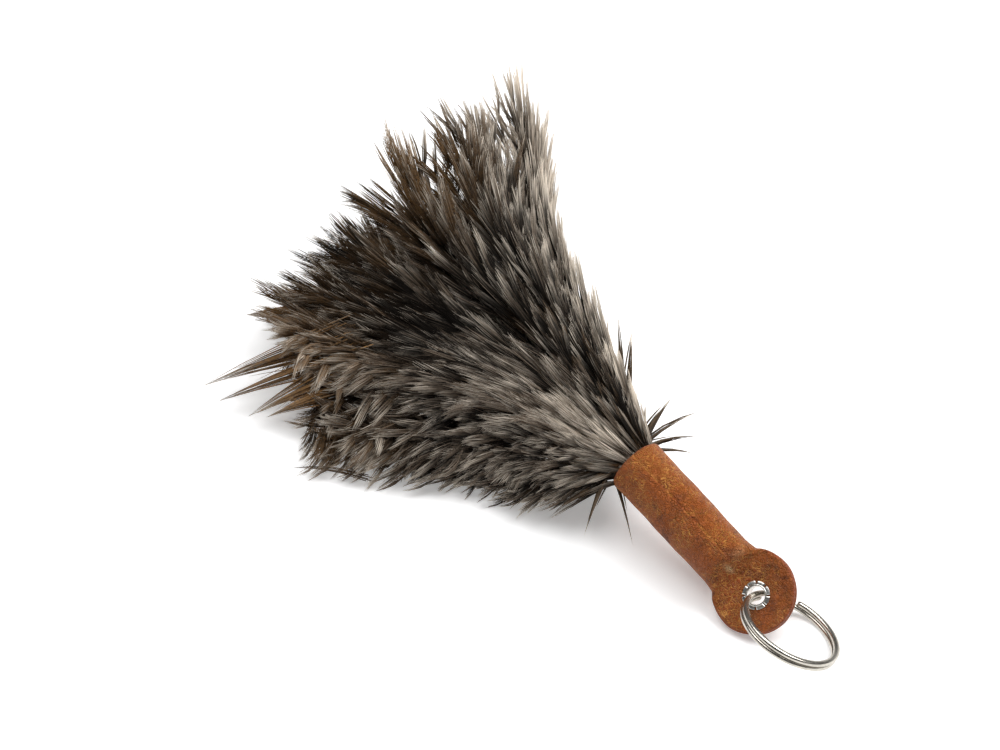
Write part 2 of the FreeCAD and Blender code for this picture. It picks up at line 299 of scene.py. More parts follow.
def makeSleeve():
    shape = sleeveShape
    mouth = -handleLie["mouthToEyelet"]
    wall = shape["wall"]
    rim = wall / 2
    rings = []
    # from the closed inner end out to the mouth, round its rim, and back along the outside
    for along in np.linspace(shape["innerEnd"], mouth + 0.6, 14):
        wide, thick, corner = outerSize(along)
        inner = (wide - wall, max(thick - wall, shape["slitHalf"]))
        rings.append(sleeveRing(along, *inner, min(inner), False))
    for turn in np.linspace(-75, 75, 7):
        angle = math.radians(turn)
        radius = handleLie["mouthRadius"] - rim + rim * math.sin(angle)
        rings.append(sleeveRing(mouth + rim * 0.8 * (1 - math.cos(angle)), radius, radius, radius, False))
    tabStart = 1 - shape["shoulderEnd"]
    outside = [*np.arange(mouth + 0.9, -shape["shoulderStart"], shape["tubeStep"]),
               *np.arange(-shape["shoulderStart"], tabStart, shape["tabStep"])]
    begin = math.acos(-(tabStart + shape["tabOffset"]) / shape["tabRadius"])
    outside += [-shape["tabRadius"] * math.cos(angle) - shape["tabOffset"]
                for angle in np.linspace(begin, math.pi - 0.05, 30)]
    for along in outside:
        rings.append(sleeveRing(along, *outerSize(along), True))
    body = bmesh.new()
    growRings(body, rings)
    mesh = finishMesh(body, "leather_sleeve")

    cutter = bmesh.new()
    hole = shape["eyeletHole"] * mm
    bmesh.ops.create_cone(cutter, segments=50, radius1=hole, radius2=hole, depth=8 * mm, cap_ends=True)
    for vert in cutter.verts:
        vert.co = eyeletAt + handleWay * vert.co.x + tabSide * vert.co.y + tabUp * vert.co.z
    return cutMesh(mesh, finishMesh(cutter, "hole"))


def cutMesh(mesh, tool):
    holders = [bpy.data.objects.new(name, data) for name, data in (("cut", mesh), ("tool", tool))]
    for holder in holders:
        bpy.context.scene.collection.objects.link(holder)
    holders[0].modifiers.new("Hole", "BOOLEAN").object = holders[1]
    whole = holders[0].evaluated_get(bpy.context.evaluated_depsgraph_get())
    cut = bpy.data.meshes.new_from_object(whole)
    for holder in holders:
        bpy.data.objects.remove(holder)
    return cut


leatherLook = {
    "tan": (0.35, 0.086, 0.011),
    "dark": (0.105, 0.026, 0.006),
    "red": (0.30, 0.052, 0.008),
    "ochre": (0.66, 0.29, 0.06),
    "wearAndHighlight": (0.62, 0.42, 0.22),
    "crackle": 680,
    "fineCrackle": 1500,
    "grain": 3200,
}


def leatherFinish():
    look = leatherLook
    leather = Finish("worn_leather", IOR=1.5, Specular_IOR_Level=0.32)
    places = leather.places()
    seam = leather.attribute("seam")
    drift = leather.node("ShaderNodeTexNoise", {}, {"Vector": places, "Scale": 500, "Detail": 2}, 1)
    pushed = leather.node("ShaderNodeVectorMath", {"operation": "MULTIPLY_ADD"},
                          {0: drift, 1: (0.0022, 0.0022, 0.0022), 2: places})
    crack = leather.cracks(pushed, look["crackle"])
    fine = leather.cracks(pushed, look["fineCrackle"])
    patch = leather.noise(places, 130, 4)
    mottle = leather.noise(places, 330, 6, 0.6)
    grain = leather.noise(places, look["grain"], 4)
    veins = (1 - leather.between(crack, 0.0, 0.05)) * leather.between(patch, 0.4, 0.56)
    fineVeins = (1 - leather.between(fine, 0.0, 0.11)) * leather.between(patch, 0.35, 0.65)
    colour = leather.mix(leather.between(mottle + grain * 0.2, 0.3, 0.62), look["dark"], look["tan"])
    colour = leather.mix(leather.between(patch, 0.5, 0.7) * 0.6, colour, look["red"])
    colour = leather.mix(fineVeins * 0.55, colour, look["ochre"])
    colour = leather.mix(veins * 0.9, colour, look["ochre"])
    # worn spots, plus a painted highlight on the shoulder, in a lighter tan
    wearAndHighlight = leather.attribute("wearAndHighlight") * leather.between(grain + mottle, 0.75, 1.15)
    colour = leather.mix(wearAndHighlight, colour, look["wearAndHighlight"])
    # painted shade round the eyelet, mixed towards dark
    colour = leather.mix(leather.attribute("eyeletShade"), colour, look["dark"])
    thread = leather.mix(leather.between(mottle, 0.42, 0.58), look["red"], look["ochre"])
    colour = leather.mix(seam * 0.5, colour, thread)
    colour = leather.mix(leather.attribute("edge") * 0.8, colour, look["red"])
    rough = 0.42 + grain * 0.22 - veins * 0.06
    leather.feed(Base_Color=colour, Roughness=rough)
    height = leather.between(crack, 0, 0.1) * 0.5 + leather.between(fine, 0, 0.25) * 0.5 + grain * 0.6
    leather.bump(height - seam * 0.4, 0.0004)
    return leather.material


sleeveWearAndShading = {
    "tabFrom": -8,  # where the tab's edge starts to show, and over what length
    "tabOver": 4,
    "edgeIn": 0.8,
    "edgeOver": 0.6,
    "mouthIn": 1,
    "mouthOver": 0.8,
    "mouthEdge": 0.7,
    "spotAt": -8.5,  # a worn spot on the seam
    "spotHalf": 0.7,
    # a painted highlight on the tube's shoulder
    "shoulderAt": (-9.5, 4),
    "shoulderHalf": (1.2, 2.5),
    # share of the painted shoulder highlight and of the lighter tab rim
    "shoulderAndRimShare": 0.3,
    "seamHalf": 0.22,
    "seamEnd": -2.6,
    # painted shade round the eyelet, where the cupped tab shades the leather
    "eyeletShadeAt": (-1, 2),
    "eyeletShadeArea": 18,
    "eyeletShadeDepth": 0.45,
}


def paintSleeve(mesh):
    # how worn and edge-like each point is, where the seam runs, and where painted highlight and painted
    # shade lie
    wearAndShading = sleeveWearAndShading
    points = np.empty(len(mesh.vertices) * 3)
    mesh.vertices.foreach_get("co", points)
    points = (points.reshape(-1, 3) - np.array(eyeletAt)) / mm
    along = points @ np.array(handleWay)
    across = points @ np.array(tabSide)
    up = points @ np.array(tabUp)
    front = up > 0
    onTab = ease((along - wearAndShading["tabFrom"]) / wearAndShading["tabOver"])
    fromCentre = np.hypot(along + sleeveShape["tabOffset"], across)
    edge = onTab * ease((fromCentre - sleeveShape["tabRadius"] + wearAndShading["edgeIn"]) / wearAndShading["edgeOver"])
    fromMouth = along + handleLie["mouthToEyelet"]
    edge = np.maximum(edge, ease((wearAndShading["mouthIn"] - fromMouth) / wearAndShading["mouthOver"]) * wearAndShading["mouthEdge"])
    wearAndHighlight = np.exp(-(across / wearAndShading["spotHalf"]) ** 2 - (along - wearAndShading["spotAt"]) ** 2) * front
    # a painted highlight on the shoulder, joined below to the worn spot and the lighter rim
    shoulderAlong = (along - wearAndShading["shoulderAt"][0]) / wearAndShading["shoulderHalf"][0]
    shoulderAcross = (across - wearAndShading["shoulderAt"][1]) / wearAndShading["shoulderHalf"][1]
    shoulderHighlight = np.exp(-shoulderAlong ** 2 - shoulderAcross ** 2) * front
    wearAndHighlight = np.maximum(wearAndHighlight, wearAndShading["shoulderAndRimShare"] * np.maximum(shoulderHighlight, edge))
    turn = np.degrees(np.arctan2(up, across)) - (90 - sleeveShape["seamTurn"] * (1 - onTab))
    fromSeam = np.where(onTab > 0.5, across, np.radians(turn) * sleeveShape["tubeRadius"])
    line = np.exp(-(fromSeam / wearAndShading["seamHalf"]) ** 2) * front * (along < wearAndShading["seamEnd"])
    fromEyeletShade = (along - wearAndShading["eyeletShadeAt"][0]) ** 2 + (across - wearAndShading["eyeletShadeAt"][1]) ** 2
    eyeletShade = wearAndShading["eyeletShadeDepth"] * np.exp(-fromEyeletShade / wearAndShading["eyeletShadeArea"]) * front
    for name, values in (("edge", edge), ("wearAndHighlight", wearAndHighlight), ("eyeletShade", eyeletShade), ("seam", line)):
        mesh.attributes.new(name, "FLOAT", "POINT").data.foreach_set("value", values.astype(np.float32))


sleeveMesh = makeSleeve()
paintSleeve(sleeveMesh)
addPiece("sleeve", sleeveMesh, "duster", "leather", "leather_sleeve", materials=[leatherFinish()])
print("sleeve made", len(sleeveMesh.polygons))


# Eyelet and split ring

eyeletShape = {
    "bore": 2.15,
    "barrel": 2.5,
    "barrelHalf": 0.17,
    "tabHalf": 1.3,
    "lipRadius": 2.42,
    "lipRise": 0.26,
    "lipHalf": (0.2, 0.24),
    "petals": 8,
    "petalGap": 0.42,
    "petalOuter": 3.38,
    "petalInner": 2.4,
    "petalRise": 0.2,
    "petalHalf": 0.17,
    "droopFrom": 2.9,  # the petals' tips bend down to the leather
    "droop": 0.16,
    "backOuter": 3.7,
    "backDrop": 0.24,
    "backHalf": 0.2,
}


def spinProfile(shape, profile, first, sweep, steps, whole):
    # turns a closed outline of (distance out, height) about the eyelet's own line
    verts = [shape.verts.new((out * math.cos(first), out * math.sin(first), up)) for out, up in profile]
    edges = [shape.edges.new((verts[index - 1], vert)) for index, vert in enumerate(verts)]
    faces = [] if whole else [shape.faces.new(verts)]
    bmesh.ops.spin(shape, geom=edges + faces + verts, cent=(0, 0, 0), axis=(0, 0, 1), angle=sweep,
                   steps=steps, use_merge=whole, use_duplicate=False)


def roundOutline(out, up, halfOut, halfUp, count, power=2.6):
    turns = [2 * math.pi * index / count for index in range(count)]
    return [(out + halfOut * math.copysign(abs(math.cos(turn)) ** (2 / power), math.cos(turn)),
             up + halfUp * math.copysign(abs(math.sin(turn)) ** (2 / power), math.sin(turn)))
            for turn in turns]


def makeEyelet():
    size = eyeletShape
    top = size["tabHalf"]
    whole = 2 * math.pi
    barrel = (size["bore"] + size["barrel"]) / 2
    back = (size["backOuter"] + size["bore"]) / 2
    backWide = (size["backOuter"] - size["bore"]) / 2
    star = bmesh.new()
    for profile in (
            roundOutline(barrel, 0, size["barrelHalf"], top + 0.3, 20, 8),
            roundOutline(size["lipRadius"], top + size["lipRise"], *size["lipHalf"], 14),
            roundOutline(back, -top - size["backDrop"], backWide, size["backHalf"], 16)):
        spinProfile(star, profile, 0, whole, 64, True)
    step = whole / size["petals"]
    gap = size["petalGap"] / size["petalOuter"]
    middle = (size["petalInner"] + size["petalOuter"]) / 2
    half = (size["petalOuter"] - size["petalInner"]) / 2
    petalOutline = roundOutline(middle, top + size["petalRise"], half, size["petalHalf"], 16, 7)
    for petal in range(size["petals"]):
        spinProfile(star, petalOutline, petal * step + gap / 2, step - gap, 6, False)
    for vert in star.verts:
        out = math.hypot(vert.co.x, vert.co.y)
        lift = -size["droop"] * max(out - size["droopFrom"], 0) if vert.co.z > 0 else 0
        place = handleWay * vert.co.x + tabSide * vert.co.y + tabUp * (vert.co.z + lift)
        vert.co = eyeletAt + place * mm
    return finishMesh(star, "eyelet_star")


ringShape = {
    "outerRadius": 12.5,
    "wireAcross": 1.5,
    "wireAlong": 1.2,
    "coilGap": 0.06,
    "crossingHalf": 24,  # in degrees, each side of the ramp from coil to coil
    "crossingAt": 150,
    "endRound": 0.22,
    "endTaper": 0.25,
    "steps": 260,
    "turn": 2,
    "lift": 10.2,
    "lean": 22,
}


def makeRing():
    size = ringShape
    radius = size["outerRadius"] - size["wireAcross"] / 2
    level = (size["wireAlong"] + size["coilGap"]) / 2
    half = size["crossingHalf"]
    turn = math.radians(size["turn"])
    lift = math.radians(size["lift"])
    lean = math.radians(size["lean"])
    outwards = (handleWay * math.cos(turn) + tabSide * math.sin(turn)) * math.cos(lift)
    outwards += tabUp * math.sin(lift)
    sideways = tabSide * math.cos(turn) - handleWay * math.sin(turn)
    normal = sideways * math.cos(lean) + outwards.cross(sideways) * math.sin(lean)
    beside = normal.cross(outwards)
    centre = eyeletAt + outwards * radius * mm
    outline = roundOutline(0, 0, size["wireAcross"] / 2, size["wireAlong"] / 2, 20, 2.7)
    rings = []
    for angle in np.linspace(half, 720 - half, size["steps"]):
        # low coil, a short ramp across, then the high coil
        share = ease(np.array((angle - (360 - half)) / (2 * half)))
        height = level * (2 * share - 1)
        where = math.radians(angle + size["crossingAt"])
        fromEnd = min(angle - half, 720 - half - angle) * math.pi / 180 * radius
        rounding = 1 - min(fromEnd / size["endRound"], 1)
        small = math.sqrt(max(1 - rounding ** 2, 0)) * size["endTaper"] + 1 - size["endTaper"]
        out = outwards * math.cos(where) + beside * math.sin(where)
        ring = []
        for across, along in outline:
            place = out * (radius + across * small) + normal * (height + along * small)
            ring.append(centre + place * mm)
        rings.append(ring)
    wire = bmesh.new()
    growRings(wire, rings)
    return finishMesh(wire, "ring_wire")


def nickelFinish(name, colour, rough):
    nickel = Finish(name, Metallic=1.0)
    places = nickel.places()
    smear = nickel.noise(places, 420, 5, 1.2)
    scratch = nickel.noise(places, 5200, 3)
    tone = nickel.mix(nickel.between(smear, 0.35, 0.7), colour, tuple(part * 0.82 for part in colour))
    nickel.feed(Base_Color=tone, Roughness=rough + smear * 0.14)
    nickel.bump(scratch * 0.4 + smear, 0.00001)
    return nickel.material


addPiece("eyelet_star", makeEyelet(), "duster", "eyelet_metal", "eyelet",
         materials=[nickelFinish("eyelet_nickel", (0.82, 0.80, 0.76), 0.2)])
addPiece("ring_wire", makeRing(), "key_ring", "ring_metal", "split_ring",
         materials=[nickelFinish("ring_nickel", (0.6, 0.565, 0.5), 0.17)])
print("eyelet and ring made")


# Feathers. A place in the head is given by its share of the way from the mouth to the tips, its
# side from -1, left, to 1, right, and its level from 0, at the bottom, to 1, on top.

headShape = {
    "mouthRadius": 5.8,
    "side": (-1.0, -0.8, -0.55, -0.3, 0.0, 0.3, 0.6, 0.8, 1.0),
    "reach": (60, 93, 120, 122, 124, 127, 124, 120, 127),
    "topAtSide": (6, 17, 16, 15, 21, 33, 36, 28, 25),
    "bottomAtSide": (0.7, 0.7, 0.7, 0.7, 0.7, 0.7, 0.8, 2.5, 8),
    "share": (0, 0.06, 0.16, 0.3, 0.45, 0.6, 0.8, 1.0),
    "leftHalf": (5.8, 17, 24, 25, 28.5, 36, 47, 54),
    "rightHalf": (5.8, 10, 14.5, 20, 28.5, 38, 57.5, 66.5),
    "rise": (0, 0.1, 0.28, 0.5, 0.68, 0.82, 0.95, 1.0),
    "fall": (0, 0.34, 0.72, 0.97, 1, 1, 1, 1),
    "nearTone": (0.16, 0.32, 0.54, 0.46, 0.0, -0.42, -0.36, -0.04, 0.32),
    "farTone": (0.14, 0.2, -0.5, -0.75, -0.4, -0.22, -0.18, -0.1, 0.18),
    "warmth": (0.35, 0.85, 0.3, 0.1, 0.3, 0.75, 0.2, 0.0, 0.15),
    "topStraight": 0.45,  # how much later the top tufts on the left spread than the low ones
    "slopeOver": 0.35,  # the share over which the top leaves the handle's own slope
    "slope": 0.9,
}

featherShape = {
    "innerCount": 14,
    "outerCount": 20,
    "innerCircle": 2.86,
    "outerCircle": 4.06,
    "quillRadius": 0.55,
    "quillDepth": 24.5,
    "quillOutOuter": 0.7,  # how far out in the bundle a quill runs, 1 on its surface
    "quillOutInner": 0.5,
    "quillEnd": 0.84,
    "shortest": 0.9,
    "lengthSpread": 0.012,
    "heightSpread": 0.045,
    "outerTufts": 200,
    "innerTufts": 44,
    "strands": 13,
    "strandRadius": 0.1,
    "strandSteps": (0.0, 0.42, 0.76, 1.0),  # where along a strand its four points lie
    "strandTaper": (0.9, 1.0, 0.85, 0.25),
    "tuftHalfWidth": 1.3,
    "uneven": (0.7, 1.25),  # range of the tufts' lengths and widths
    "firstTip": 0.06,
    "deepestRoot": -0.03,
    "longFrom": 0.35,
    "outerCrowding": 0.7,
    "innerCrowding": 0.55,
    "outerFan": 0.64,  # how far round tufts spread, as a share of the way to the next feather
    "innerFan": 0.8,
    "rootFan": 0.34,
    "tipOut": 0.92,
    "rootOut": 0.72,
    "lockCrown": 0.1,
    "innerTips": (0.35, 0.86),
    "shortTuft": 0.07,  # near the mouth, as a share of the head
    "longTuft": 0.14,
    "looseMiddle": 0.35,  # how far tufts stray, in millimetres
    "looseTip": 0.95,
    "looseUp": 0.5,
}

featherTone = {
    "tone": 0.32,
    "byFeather": 0.07,
    "byTuft": 0.2,
    "byStrand": 0.26,
    "byPlace": 0.8,
    # painted shade: strands darken towards their roots, in the gaps between tufts
    "root": 0.36,
    "toTip": 0.6,
    "farRightLift": 0.4,  # lighter tone at the far tips of the right side
    "paleTip": 0.68,
    "paleSpread": 0.42,
    "paleByPlace": 1.2,
    "paleEdge": 0.42,
}

chance = np.random.default_rng(41)


def smoothStops(value, places, heights):
    # stops joined without corners
    soft = 0.03 * (places[-1] - places[0])
    return sum(np.interp(value + shift * soft, places, heights) for shift in (-1, -0.5, 0, 0.5, 1)) / 5


def headPoint(share, side, level):
    shape = headShape
    share, side, level = np.broadcast_arrays(share, side, level)
    inside = np.clip(side, -1, 1)
    reach = smoothStops(inside, shape["side"], shape["reach"])
    round0 = shape["mouthRadius"] * np.sqrt(np.clip(1 - inside ** 2, 0.02, 1))
    rise = smoothStops(share, shape["share"], shape["rise"])
    fall = smoothStops(share, shape["share"], shape["fall"])
    fall[share < 0] = 0
    left = smoothStops(share, shape["share"], shape["leftHalf"])
    right = smoothStops(share, shape["share"], shape["rightHalf"])
    # the low tufts spread at once, the top ones go straight on
    left = left * (1 - shape["topStraight"] * level * np.exp(-((share - 0.1) / 0.25) ** 2))
    middle = mouthAt.z / mm
    top = smoothStops(inside, shape["side"], shape["topAtSide"])
    bottom = smoothStops(inside, shape["side"], shape["bottomAtSide"])
    slope = math.tan(tilt) * reach * share * np.exp(-(share / shape["slopeOver"]) ** 2) * shape["slope"]
    roof = (middle + round0) * (1 - rise) + top * rise + slope * level
    ground = (middle - round0) * (1 - fall) + bottom * fall
    x = mouthAt.x / mm - reach * share
    y = mouthAt.y / mm + side * np.where(side < 0, left, right)
    z = ground + (roof - ground) * level
    return np.stack((x, y, z), -1)


def bundlePoint(share, turn, out):
    # turn is the angle round the bundle from the right over the top, out is 1 on its surface
    side = out * np.cos(turn)
    up = out * np.sin(turn)
    level = 0.5 + 0.5 * up / np.sqrt(np.clip(1 - side ** 2, 0.12, 1))
    return headPoint(share, side, level)


def unit(vectors):
    return vectors / np.maximum(np.linalg.norm(vectors, axis=-1, keepdims=True), 1e-9)


def makeStrands(name, lines, thick):
    shape = bpy.data.curves.new(name, "CURVE")
    shape.dimensions = "3D"
    shape.bevel_depth = 1
    shape.bevel_resolution = 0
    shape.use_fill_caps = True
    flat = np.concatenate((lines * mm, np.ones(lines.shape[:2] + (1,))), -1)
    for line, radii in zip(flat, thick * mm):
        spline = shape.splines.new("POLY")
        spline.points.add(len(line) - 1)
        spline.points.foreach_set("co", line.ravel())
        spline.points.foreach_set("radius", radii)
    holder = bpy.data.objects.new(name, shape)
    mesh = bpy.data.meshes.new_from_object(holder)
    bpy.data.objects.remove(holder)
    bpy.data.curves.remove(shape)
    return mesh


def tuftStrands(paths, ups, halfWidths, count):
    # Each tuft's path has three points, root, middle and tip. Its strands fan from the root and end
    # one after another from its edges to its point.
    tufts = len(paths)
    spread = np.linspace(-1, 1, count)[None, :] + chance.normal(0, 0.05, (tufts, count))
    ends = 1 - 0.34 * np.abs(spread) ** 1.2 * chance.uniform(0.3, 1.2, (tufts, count))
    starts = chance.uniform(0.0, 0.2, (tufts, count)) * ends
    steps = np.array(featherShape["strandSteps"])
    along = starts[..., None] + (ends - starts)[..., None] * steps
    a, b, c = (paths[:, None, None, index] for index in range(3))
    t = along[..., None]
    places = a * (1 - t) ** 2 + 2 * b * t * (1 - t) + c * t ** 2
    ways = unit(2 * (1 - t) * (b - a) + 2 * t * (c - b))
    normals = unit(ups[:, None, None] - ways * np.sum(ups[:, None, None] * ways, -1, keepdims=True))
    sides = np.cross(ways, normals)
    width = 0.3 + 0.7 * np.sin(np.clip(along * 1.7, 0, 1) * math.pi / 2)
    offset = spread[..., None] * width * (1 - 0.35 * along ** 3)
    splay = chance.normal(0, 0.13, (tufts, count)) + 0.1 * spread
    offset = (offset + splay[..., None] * steps ** 2.5) * halfWidths[:, None, None]
    crown = (1 - np.clip(np.abs(spread), 0, 1) ** 2)[..., None] * width * 0.5
    crown = crown * halfWidths[:, None, None]
    crown = crown + chance.normal(0, 0.07, (tufts, count))[..., None] * (0.5 + steps)
    lines = places + sides * offset[..., None] + normals * crown[..., None]
    return lines, along


def tuftColours(tipShare, tipTurn, along):
    # tone, warmth and paleness of every point of every strand
    head = headShape
    look = featherTone
    tufts = len(tipShare)
    beside = np.cos(tipTurn)
    away = np.clip((tipShare - 0.25) / 0.4, 0, 1)
    place = smoothStops(beside, head["side"], head["nearTone"]) * (1 - away)
    place = (place + smoothStops(beside, head["side"], head["farTone"]) * away) * (np.sin(tipTurn) > 0)
    place = place + look["farRightLift"] * np.clip((tipShare - 0.82) / 0.12, 0, 1) * np.clip(beside * 2, 0, 1)
    tuftTone = look["tone"] + chance.normal(0, look["byFeather"]) + chance.normal(0, look["byTuft"], tufts)
    tuftTone = tuftTone + look["byPlace"] * place
    tone = tuftTone[:, None, None] + chance.normal(0, look["byStrand"], along.shape[:2])[..., None]
    # painted shade at the roots, lightening towards the tips
    tone = tone + look["toTip"] * along - look["root"]
    far = np.clip((tipShare - 0.62) / 0.3, 0, 1)
    warmth = smoothStops(beside, head["side"], head["warmth"]) + chance.normal(0, 0.1, tufts)
    warm = (far * np.clip(warmth, 0, 1))[:, None, None] * (0.35 + 0.65 * along)
    brightTip = chance.normal(look["paleTip"], look["paleSpread"], tufts) + look["paleByPlace"] * place
    brightTip = np.clip(brightTip, 0.02, 1.5)
    pale = np.array(featherShape["strandSteps"]) ** 3 * brightTip[:, None, None]
    pale = pale * chance.uniform(0.3, 1.3, along.shape[:2])[..., None]
    nearMouth = np.clip(1 - tipShare / 0.3, 0, 1)[:, None, None]
    nearPale = np.clip(0.25 + 1.4 * place, 0, 1)[:, None, None]
    pale = pale + nearMouth * nearPale * chance.uniform(0, 1, along.shape)
    rightEdge = np.clip((beside - 0.62) / 0.3, 0, 1)[:, None, None]
    pale = pale + rightEdge * look["paleEdge"] * along
    return np.stack(np.broadcast_arrays(tone, warm, pale, along), -1)


def featherStrands(circle, index, tufts):
    shape = featherShape
    count = shape[f"{circle}Count"]
    middle = 2 * math.pi * (index + 0.5) / count
    apart = 2 * math.pi / count
    length = shape["shortest"] + (1 - shape["shortest"]) * ((index * 2) % 3) / 2
    length += chance.normal(0, shape["lengthSpread"])
    height = chance.normal(0, shape["heightSpread"])
    # roots follow the quill; tips reach the surface, in rows from the mouth to the far end
    order = (np.arange(tufts) + chance.uniform(0, 1, tufts)) / tufts
    tipShare = shape["firstTip"] + (length - shape["firstTip"]) * order ** shape[f"{circle}Crowding"]
    reachOut = np.clip(tipShare / shape["longFrom"], 0, 1)
    tuftLength = shape["shortTuft"] + (shape["longTuft"] - shape["shortTuft"]) * reachOut
    tuftLength = tuftLength * chance.uniform(*shape["uneven"], tufts)
    rootShare = np.maximum(tipShare - tuftLength, shape["deepestRoot"])
    across = chance.uniform(-1, 1, tufts)
    tipTurn = middle + across * apart * shape[f"{circle}Fan"]
    rootTurn = middle + across * apart * shape["rootFan"]
    lock = 1 - across ** 2
    if circle == "outer":
        tipOut = shape["tipOut"] + shape["lockCrown"] * lock + height + chance.normal(0, 0.05, tufts)
        rootOut = shape["rootOut"] + shape["lockCrown"] * lock + height
        rootOut = rootOut + 0.13 * np.clip(tipShare / 0.6, 0, 1)
    else:
        tipOut = chance.uniform(*shape["innerTips"], tufts)
        rootOut = tipOut * 0.8
    close = rootShare < 0.05
    rootOut = np.where(close, np.minimum(rootOut, 0.86), rootOut)
    midShare = rootShare + (tipShare - rootShare) * 0.5
    midTurn = rootTurn + (tipTurn - rootTurn) * 0.42
    midOut = rootOut + (tipOut - rootOut) * 0.62
    paths = np.stack((bundlePoint(rootShare, rootTurn, rootOut),
                      bundlePoint(midShare, midTurn, midOut),
                      bundlePoint(tipShare, tipTurn, tipOut)), 1)
    hub = bundlePoint(midShare, midTurn, np.full(tufts, 0.02))
    ups = unit(paths[:, 1] - hub)
    grown = np.clip(0.42 + tipShare * 2.2, 0.3, 1)
    # every tuft strays a little from its neighbours
    paths[:, 1] += chance.normal(0, shape["looseMiddle"], (tufts, 3)) * grown[:, None]
    paths[:, 2] += chance.normal(0, shape["looseTip"], (tufts, 3)) * grown[:, None]
    paths[:, 2] += ups * (chance.exponential(shape["looseUp"], tufts) * grown)[:, None]
    halfWidths = shape["tuftHalfWidth"] * grown * chance.uniform(*shape["uneven"], tufts)
    lines, along = tuftStrands(paths, ups, halfWidths, shape["strands"])
    lines[..., 2] = np.maximum(lines[..., 2], 0.2)
    thin = shape["strandRadius"] * (0.6 + 0.4 * grown)[:, None, None]
    radii = thin * np.array(shape["strandTaper"]) * np.ones(along.shape)
    colour = tuftColours(tipShare, tipTurn, along)
    return lines.reshape(-1, 4, 3), radii.reshape(-1, 4), colour.reshape(-1, 4, 4)


def quillLine(circle, index):
    shape = featherShape
    turn = 2 * math.pi * (index + 0.5) / shape[f"{circle}Count"]
    radius = shape[f"{circle}Circle"]
    offset = (handleSide * math.cos(turn) + handleUp * math.sin(turn)) * radius
    start = mouthAt / mm + offset
    inside = [start + handleWay * depth for depth in (shape["quillDepth"], 8, 0.5)]
    out = shape["quillOut" + circle.title()]
    shares = np.linspace(0.03, shape["quillEnd"], 12)
    outside = bundlePoint(shares, np.full(12, turn), np.full(12, out))
    line = np.concatenate((np.array([tuple(point) for point in inside]), outside))
    radii = np.concatenate((np.full(3, shape["quillRadius"]), np.linspace(0.5, 0.1, 12)))
    return line[None], radii[None]


def joinMeshes(name, meshes):
    whole = bmesh.new()
    for mesh in meshes:
        whole.from_mesh(mesh)
        bpy.data.meshes.remove(mesh)
    bmesh.ops.remove_doubles(whole, verts=whole.verts, dist=1e-7)
    for face in whole.faces:
        face.smooth = True
    mesh = bpy.data.meshes.new(name)
    whole.to_mesh(mesh)
    whole.free()
    return mesh


def addColour(mesh, colour):
    # four points round each ring of a strand; the caps at its tip and root come before all the rings
    caps = np.repeat(colour[:, (-1, 0)].reshape(-1, 4), 4, axis=0)
    values = np.concatenate((caps, np.repeat(colour.reshape(-1, 4), 4, axis=0)))
    data = mesh.attributes.new("fibre", "FLOAT_COLOR", "POINT").data
    data.foreach_set("color", values.astype(np.float32).ravel())


plumeLook = {
    "dark": (0.0075, 0.0058, 0.0044),
    "taupe": (0.215, 0.166, 0.124),
    "warm": (0.30, 0.155, 0.05),
    "pale": (0.78, 0.69, 0.58),
    "flecks": 1500,
}


def plumeFinish():
    look = plumeLook
    plume = Finish("ostrich_plume", IOR=1.25, Specular_IOR_Level=0.2)
    fibre = plume.attribute("fibre", "Color")
    tone, warm, pale = (plume.node("ShaderNodeSeparateColor", {}, {"Color": fibre}, part)
                        for part in range(3))
    flecks = plume.noise(plume.places(), look["flecks"], 3)
    shade = plume.between(tone + flecks * 0.3 - 0.15, 0.05, 1.0)
    colour = plume.mix(shade, look["dark"], look["taupe"])
    colour = plume.mix(warm * plume.between(flecks, 0.2, 0.6), colour, look["warm"])
    colour = plume.mix(plume.between(pale, 0.0, 0.95), colour, look["pale"])
    plume.feed(Base_Color=colour, Roughness=0.5 + flecks * 0.2)
    return plume.material


# Strays stand away from the head: the feather they grow on, where they start, how far and which way
# they go, in millimetres, and their weight. Those over 2 are the golden wisps at the left corner.

strayShape = {
    "wispFrom": 2,  # the least weight of a wisp
    "wispStrands": 40,
    "strands": 8,
    "nudge": 0.42,
    "radii": (0.17, 0.17, 0.12, 0.03),
    "wispThick": 1.1,
    "wispSteps": (-0.6, 0.1, 0.6, 1.0),
    "steps": (-0.25, 0.3, 0.68, 1.0),
}

